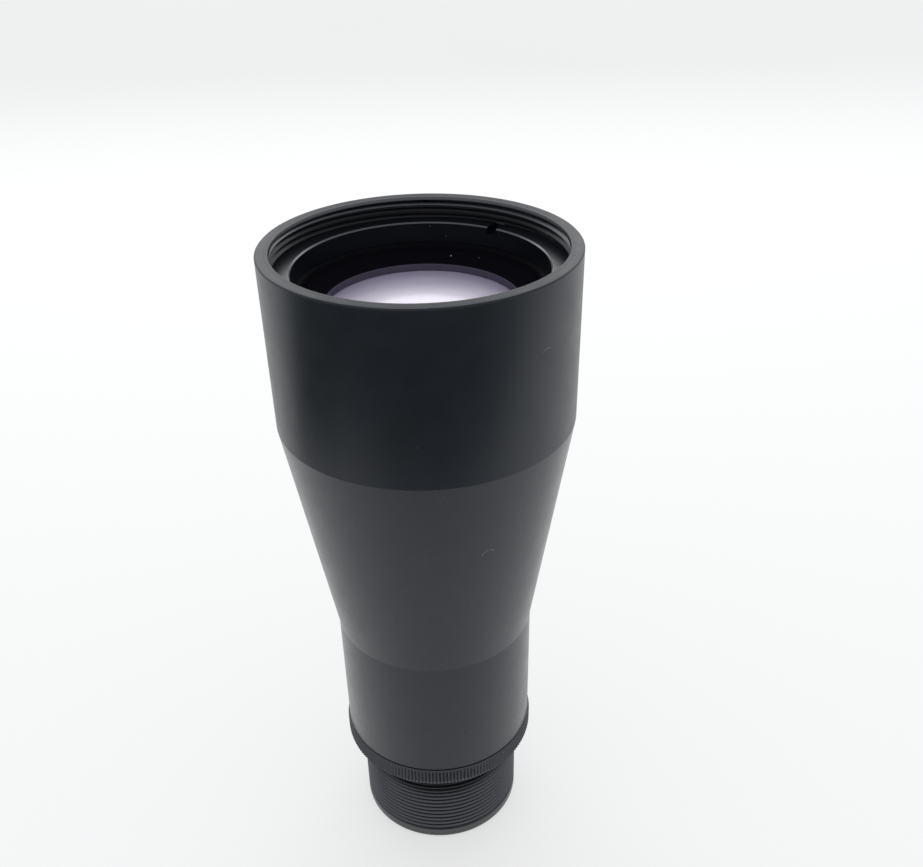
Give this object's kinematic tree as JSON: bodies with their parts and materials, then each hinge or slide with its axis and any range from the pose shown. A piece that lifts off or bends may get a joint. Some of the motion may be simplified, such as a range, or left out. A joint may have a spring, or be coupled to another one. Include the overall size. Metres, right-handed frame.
{
  "type": "laser beam expander",
  "caption": "Galilean laser beam expander: black turned barrel with a cylindrical head, cone and neck, a knurled lock ring and a fine-threaded rear tube, with coated lenses inside.",
  "frame": {"origin": "centre of the rear face of the input tube, which the part stands on", "axes": "+Z along the optical axis, from the rear thread towards the head"},
  "size_m": [0.035, 0.035, 0.0845],
  "materials": {
    "black_anodised": "satin black anodised",
    "inner_black": "matte black anodised",
    "coated_glass": "polished, antireflection coated with a violet cast"
  },
  "bodies": {
    "input_tube": {"input_tube": "black_anodised", "input_cell": "inner_black", "input_lens": "coated_glass", "input_lens_ring": "inner_black", "input_cell_ring": "black_anodised", "input_distance_ring": "inner_black", "glare_stop": "inner_black"},
    "objective_lenses": {"objective_front_lens": "coated_glass", "objective_spacer": "inner_black", "objective_rear_lens": "coated_glass"},
    "barrel": {"barrel": "black_anodised", "front_retaining_ring": "black_anodised", "objective_cell": "inner_black", "objective_lens_ring": "inner_black", "objective_distance_ring": "inner_black"},
    "lock_ring": {"lock_ring": "black_anodised"}
  },
  "joints": [
    {"name": "barrel_advance", "type": "slide", "parent": "input_tube", "child": "objective_lenses", "axis": [0, 0, 1], "range_m": [0, 0.00225]},
    {"name": "barrel_turn", "type": "hinge", "parent": "objective_lenses", "child": "barrel", "pos_m": [0, 0, 0.05], "axis": [0, 0, 1], "range_deg": [0, 1080]},
    {"name": "lock_ring_turn", "type": "hinge", "parent": "barrel", "child": "lock_ring", "pos_m": [0, 0, 0.015], "axis": [0, 0, 1], "range_deg": [-90, 0]}
  ],
  "couplings": [
    {"joint": "barrel_turn", "follows": "barrel_advance", "rad_per_m": 8377.5}
  ]
}
